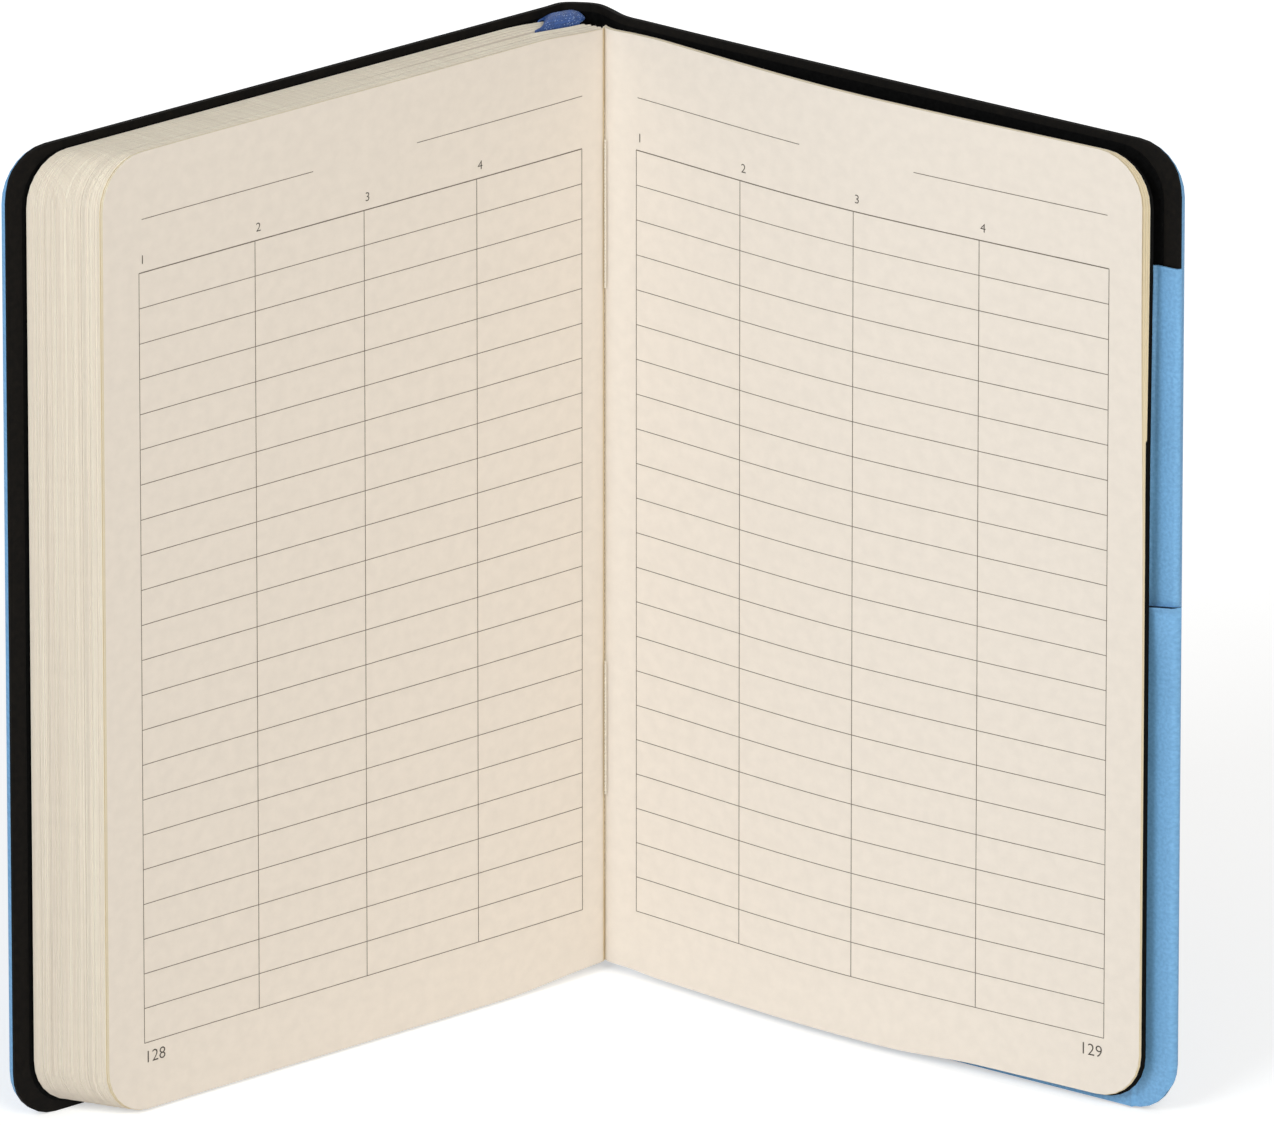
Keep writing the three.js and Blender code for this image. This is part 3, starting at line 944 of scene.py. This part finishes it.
class NOTEBOOK_OT_print(Operator):
    """Makes the print on both open pages: title rules, ruled table and plain numbers"""

    bl_idname = "notebook.print"
    bl_label = "Print"

    def execute(self, context):
        look, colours = settings(context, "print"), settings(context, "colours")
        ink = offset_ink("offset_ink", colours.ink)
        dense = offset_ink("offset_ink_numerals", shade(colours.ink, 0.45))
        pitch, nudge, thin = (look.top - look.foot) / look.rows, 0.2, look.rule
        # Page, columns of the table, ends of the title's rules and the direction of reading
        sides = (
            ("left_page_print", left_page, (5.5, 29.5, 54.8, 79.1, 104.9),
             ((5.4, 42.9), (66.1, 104.2)), -1),
            ("right_page_print", right_page, (6.0, 29.8, 54.9, 81.1, 107.7),
             ((6.3, 43.1), (67.5, 107.3)), 1),
        )
        for order, (name, page, columns, titles, reading) in enumerate(sides):
            lines = [(columns[0], columns[-1], look.foot + row * pitch, thin)
                     for row in range(look.rows)]
            lines.append((columns[0], columns[-1], look.top, look.heavy))
            lines += [(a, b, look.title, thin) for a, b in titles]
            parts = [rule(x - thin / 2, x + thin / 2, look.foot, look.top) for x in columns]
            parts += [rule(a, b, z - width / 2, z + width / 2) for a, b, z, width in lines]
            for place, x in enumerate(columns[:-1] if reading > 0 else columns[:0:-1], 1):
                parts.append(numerals(str(place), look.label, x + reading * nudge, look.top + 1.6,
                                      reading, "LEFT"))
            parts.append(numerals(str(look.number + order), look.numeral,
                                  columns[-1] - nudge * order, 9.3, reading,
                                  "LEFT" if reading < 0 else "RIGHT"))
            bm = stand(gather(parts), page)
            bmesh.ops.recalc_face_normals(bm, faces=bm.faces)
            piece = finished(name, bm, ink, ink, dense)
            if reading < 0:
                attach(piece, "text_block")
            else:
                hinge_leaf(piece)
        return {"FINISHED"}


class NOTEBOOK_OT_sewing(Operator):
    """Makes two stitches of twisted thread in the open fold, and the gauze on the spine"""

    bl_idname = "notebook.sewing"
    bl_label = "Sewing"

    def execute(self, context):
        thread = waxed_thread(settings(context, "colours").thread)
        place = LEFT.plan(0.42, 0.42)
        for number, (low, high) in enumerate(((34, 59), (129.5, 157)), 1):
            turns = round((high - low) / 1.3)
            plies = []
            for ply in (0, 1):
                bm = bmesh.new()
                side = 0.1 * (1 - 2 * ply)
                bmesh.ops.create_circle(bm, segments=7, radius=0.1, cap_ends=True)
                bmesh.ops.rotate(bm, verts=bm.verts, matrix=Matrix.Rotation(math.pi / 2, 3, "X"))
                bmesh.ops.translate(bm, verts=bm.verts, vec=(side, 0, 0))
                bmesh.ops.spin(bm, geom=[*bm.verts, *bm.edges, *bm.faces], cent=(0, 0, 0),
                               axis=(0, 0, 1), dvec=(0, 0, (high - low) / (turns * 12)),
                               angle=2 * math.pi * turns, steps=turns * 12, use_merge=False)
                bmesh.ops.recalc_face_normals(bm, faces=bm.faces)
                plies.append(bm)
            bm = gather(plies)
            bmesh.ops.translate(bm, verts=bm.verts, vec=(place.x, place.y, low))
            for face in bm.faces:
                face.smooth = True
            piece = finished(f"sewn_stitch_{number}", bm, thread)
            declare(piece, "linen_thread", f"stitch_{number}", body="text_block")
        gauze = woven("cotton_gauze", linear("E4DFD0"), linear("F4F0E6"), 0.5, 0.9)
        line = []
        for depth in spread(SECTION_START, BLOCK, 24):
            x = fold_place(depth - SECTION / 2) - 0.2
            line.append(LEFT.plan(x, left_surface(x, depth, depth)))
        run = Run(line)
        bm = panel(0, run.length, FOOT + 15, HEAD - 15, 0.02, 0.22, columns=run.marks[1:-1])
        piece = finished("spine_gauze", stand(bm, run.place), gauze, gauze)
        declare(piece, "gauze", "spine_mull", body="text_block")
        return {"FINISHED"}


class NOTEBOOK_OT_ribbon(Operator):
    """Makes the ribbon bookmark, glued behind the first section and arched over the head"""

    bl_idname = "notebook.ribbon"
    bl_label = "Ribbon"

    def execute(self, context):
        ribbon, colours = settings(context, "ribbon"), settings(context, "colours")
        cloth = woven("woven_satin_ribbon", colours.ribbon, linear("9DB4DE"), 0.32, 0.5)
        width, glued = ribbon.width, ribbon.glued
        later = settings(context, "pages").sections - RIBBON_SECTION
        slot_depth = SECTION_START + later * SECTION_PITCH + SECTION + (0.2 + RIBBON_ROOM) / 2
        start = fold_place(slot_depth) + 0.3
        front = left_surface(start + width / 2, slot_depth, slot_depth)
        back = PAGE_PLANE - BLOCK - 0.2 - 0.125
        reach = (front - back) / 2
        foot = HEAD + 0.25
        arch = math.pi * math.sqrt((reach**2 + ribbon.rise**2) / 2)
        whole = glued + (foot - HEAD) * 2 + arch + ribbon.tail
        levels = [*spread(glued - 2, glued + arch + 2, 26), *spread(glued + arch + 4, whole, 8)]
        bm = panel(0, width, 0, whole, -ribbon.thickness / 2, ribbon.thickness / 2,
                   columns=spread(0, width, 12)[1:-1], levels=levels, rounding=0.05)
        for v in bm.verts:
            x, y, run = v.co
            lean, back_share = 0.0, ease((run - glued + 6) / 6)
            if run < glued:
                place, z, normal = back, HEAD - glued + run, (-1, 0)
            elif run > glued + arch:
                place, z, normal = front, foot - (run - glued - arch), (1, 0)
                back_share = 0.0
            else:
                turn = math.pi * (run - glued) / arch
                crown = (1 - min(1, abs(2 * x / width - 1)) ** 4) ** 0.8
                place = (front + back) / 2 - reach * math.cos(turn)
                z = foot + ribbon.rise * (0.12 + 0.88 * crown) * math.sin(turn)
                normal = (-math.cos(turn), math.sin(turn))
                lean = ribbon.lean * math.sin(turn)
                back_share = ((1 + math.cos(turn)) / 2) ** 1.6
            x *= 1 - back_share * ribbon.gather / width
            point = LEFT.plan(start + x - lean, place + normal[0] * y)
            v.co = (point.x, point.y, left_height(point, z + normal[1] * y))
        bmesh.ops.recalc_face_normals(bm, faces=bm.faces)
        piece = finished("woven_ribbon", bm, cloth, cloth)
        declare(piece, "blue_ribbon", "ribbon_bookmark", body="text_block")
        return {"FINISHED"}


def seen_share(tree):
    """1 for what the camera and reflections see, and 0 for the light that falls on the book."""
    path = put(tree, "LightPath").outputs
    return put(tree, "Math", {0: path["Is Camera Ray"], 1: path["Is Glossy Ray"]},
               operation="MAXIMUM")


class NOTEBOOK_OT_stage(Operator):
    """Makes the pale floor, the soft studio light and the camera"""

    bl_idname = "notebook.stage"
    bl_label = "Stage"

    def execute(self, context):
        scene, stage = context.scene, context.scene.notebook_stage
        scene.view_settings.view_transform = "Standard"
        # Matt white board. The camera sees it glow a little, so that it is white and shadows on it
        # stay pale
        material, tree, shader, body = fresh("white_studio_floor")
        seen = seen_share(tree)
        tone = put(tree, "Mix", {0: seen, 6: linear("F7F7F7"), 7: (0.8, 0.8, 0.8, 1)},
                   data_type="RGBA")
        away = put(tree, "VectorMath", {0: body}, operation="LENGTH")
        share = put(tree, "MapRange", {"Value": away, "From Min": 0.1, "From Max": 0.6,
                                       "To Min": 0.5, "To Max": 0.75})
        glow = put(tree, "Math", {0: seen, 1: share}, operation="MULTIPLY")
        feed(tree, shader, {"Base Color": tone, "Emission Color": (1, 1, 1, 1),
                            "Emission Strength": glow, "Roughness": 0.9,
                            "Specular IOR Level": 0.1})
        bm = bmesh.new()
        bmesh.ops.create_grid(bm, x_segments=8, y_segments=8, size=4000)
        finished("floor", bm, material)

        world = bpy.data.worlds.new("even_white_light")
        world.use_nodes = True
        tree = world.node_tree
        tree.nodes.clear()
        strength = put(tree, "MapRange", {"Value": seen_share(tree), "To Min": stage.sky,
                                          "To Max": 1.0})
        white = put(tree, "Background", {"Color": (1, 1, 1, 1), "Strength": strength})
        put(tree, "OutputWorld", {"Surface": white})
        scene.world = world

        aim, reach = Vector((GUTTER.x + 5.54, GUTTER.y, 77.46)) * MM, Vector((0, -2.2, 0))
        for name, azimuth, elevation, size, power, tint in (
            ("left_soft_light", -38, 32, 0.9, stage.left, "F2F9FF"),
            ("right_soft_light", 20, 32, 1.0, stage.right, "FFF9EE"),
        ):
            lamp = bpy.data.lights.new(name, "AREA")
            lamp.size, lamp.energy, lamp.color = size, power, linear(tint)[:3]
            light = placed(name, lamp)
            turn = Matrix.Rotation(math.radians(azimuth), 3, "Z")
            tilt = Matrix.Rotation(math.radians(elevation), 3, "X").inverted()
            light.location = aim + turn @ tilt @ reach
            light.rotation_euler = (aim - light.location).to_track_quat("-Z", "Y").to_euler()
            light.visible_camera = False

        scene.camera = camera = placed("camera", bpy.data.cameras.new("camera"))
        camera.data.lens = stage.lens
        camera.data.sensor_width = 36
        camera.data.clip_start, camera.data.clip_end = 0.1, 100
        back = Vector((0, -math.cos(stage.elevation), math.sin(stage.elevation)))
        camera.location = aim + back * stage.distance
        camera.rotation_euler = (math.pi / 2 - stage.elevation, 0, 0)
        return {"FINISHED"}


OPERATORS = (
    NOTEBOOK_OT_covers, NOTEBOOK_OT_pockets, NOTEBOOK_OT_sections, NOTEBOOK_OT_last_section,
    NOTEBOOK_OT_print, NOTEBOOK_OT_sewing, NOTEBOOK_OT_ribbon, NOTEBOOK_OT_stage,
)


class NOTEBOOK_PT_panel(Panel):
    """Settings of the notebook and the pieces that they make"""

    bl_label = "Lined Notebook"
    bl_idname = "NOTEBOOK_PT_panel"
    bl_space_type = "VIEW_3D"
    bl_region_type = "UI"
    bl_category = "Notebook"

    def draw(self, context):
        for group, cls in GROUPS.items():
            box = self.layout.box()
            box.label(text=group.split("_")[1].capitalize())
            for name in cls.__annotations__:
                box.prop(getattr(context.scene, group), name)
        for operator in OPERATORS:
            self.layout.operator(operator.bl_idname)


CLASSES = (*GROUPS.values(), *OPERATORS, NOTEBOOK_PT_panel)


def register():
    for cls in CLASSES:
        bpy.utils.register_class(cls)
    for name, cls in GROUPS.items():
        setattr(bpy.types.Scene, name, bpy.props.PointerProperty(type=cls))


def unregister():
    for name in GROUPS:
        delattr(bpy.types.Scene, name)
    for cls in reversed(CLASSES):
        bpy.utils.unregister_class(cls)


def main():
    register()
    for operator in OPERATORS:
        getattr(bpy.ops.notebook, operator.bl_idname.split(".")[1])()


if __name__ == "__main__":
    main()
